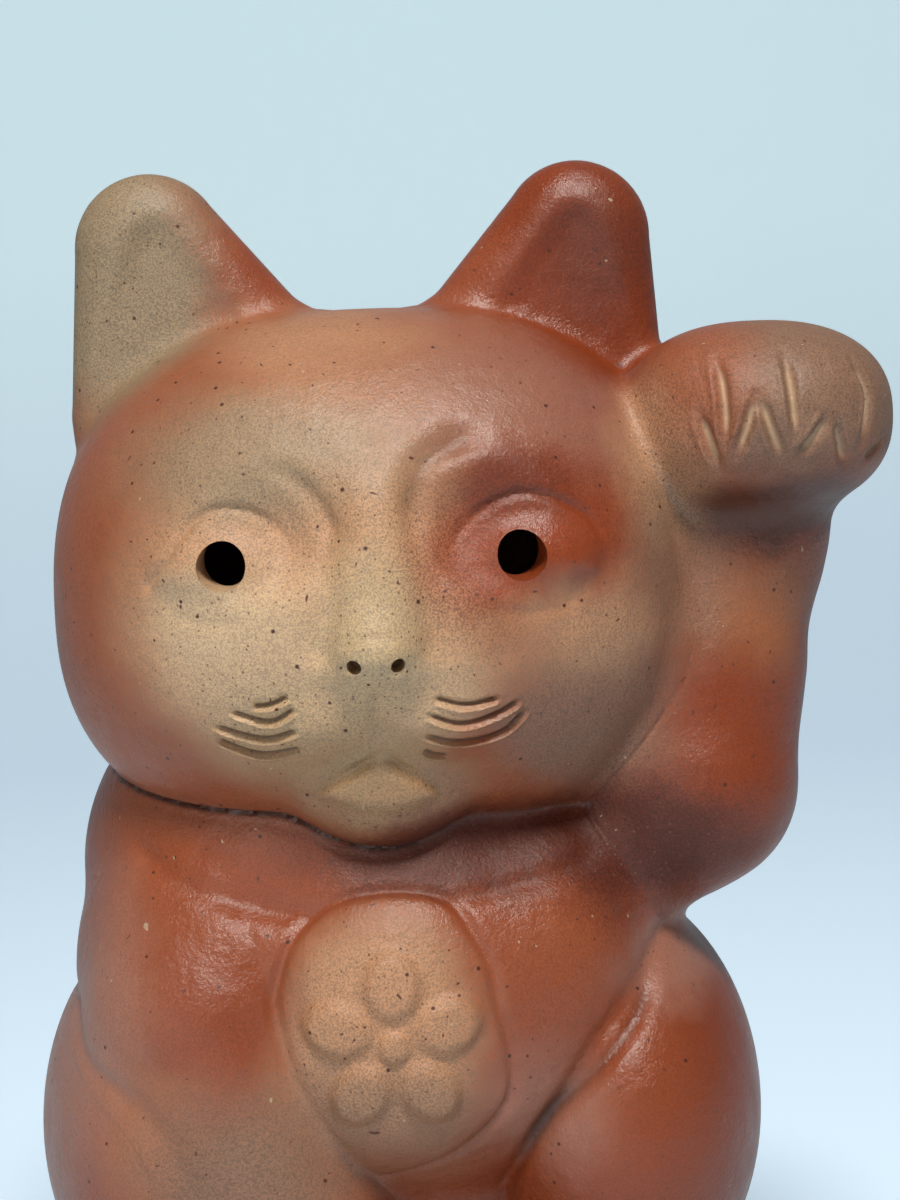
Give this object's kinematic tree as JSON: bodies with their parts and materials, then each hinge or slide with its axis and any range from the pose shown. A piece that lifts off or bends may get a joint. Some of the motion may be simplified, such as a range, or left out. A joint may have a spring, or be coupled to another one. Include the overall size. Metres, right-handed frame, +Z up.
{
  "type": "lucky cat figurine",
  "caption": "Hollow unglazed stoneware lucky cat sitting with one forepaw raised beside its head and a round medallion on its chest.",
  "frame": {"origin": "on the floor, in the middle of the bounding box, raised foreleg included", "axes": "+Z up, the cat faces -Y, the cat's own left (the raised forepaw's side) is +X"},
  "size_m": [0.1766, 0.1416, 0.2706],
  "materials": {
    "body_front_clay": "unglazed, flame-flashed orange-red, satin",
    "body_back_clay": "unglazed, flame-flashed orange-red, satin",
    "head_front_clay": "unglazed, ash-bleached pale tan, matt and sandy",
    "head_back_clay": "unglazed, flashed red-brown, satin",
    "ear_left_clay": "unglazed, dark flashed red-brown, satin",
    "ear_right_clay": "unglazed, grey-beige ash-bleached, matt",
    "raised_foreleg_clay": "unglazed, flame-flashed orange-red, satin",
    "raised_paw_clay": "unglazed, grey-brown, matt",
    "lowered_foreleg_clay": "unglazed, flame-flashed orange-red, satin",
    "chest_medallion_clay": "unglazed, ash-bleached tan, matt",
    "hind_paw_left_clay": "unglazed, flame-flashed orange-red, satin",
    "hind_paw_right_clay": "unglazed, flame-flashed orange-red, satin",
    "tail_clay": "unglazed, flame-flashed orange-red, satin",
    "foot_ring_clay": "unglazed, flame-flashed orange-red, satin"
  },
  "bodies": {
    "root": {"body_front": "body_front_clay", "body_back": "body_back_clay", "head_front": "head_front_clay", "head_back": "head_back_clay", "ear_left": "ear_left_clay", "ear_right": "ear_right_clay", "raised_foreleg": "raised_foreleg_clay", "raised_paw": "raised_paw_clay", "lowered_foreleg": "lowered_foreleg_clay", "chest_medallion": "chest_medallion_clay", "hind_paw_left": "hind_paw_left_clay", "hind_paw_right": "hind_paw_right_clay", "tail": "tail_clay", "foot_ring": "foot_ring_clay"}
  },
  "joints": []
}
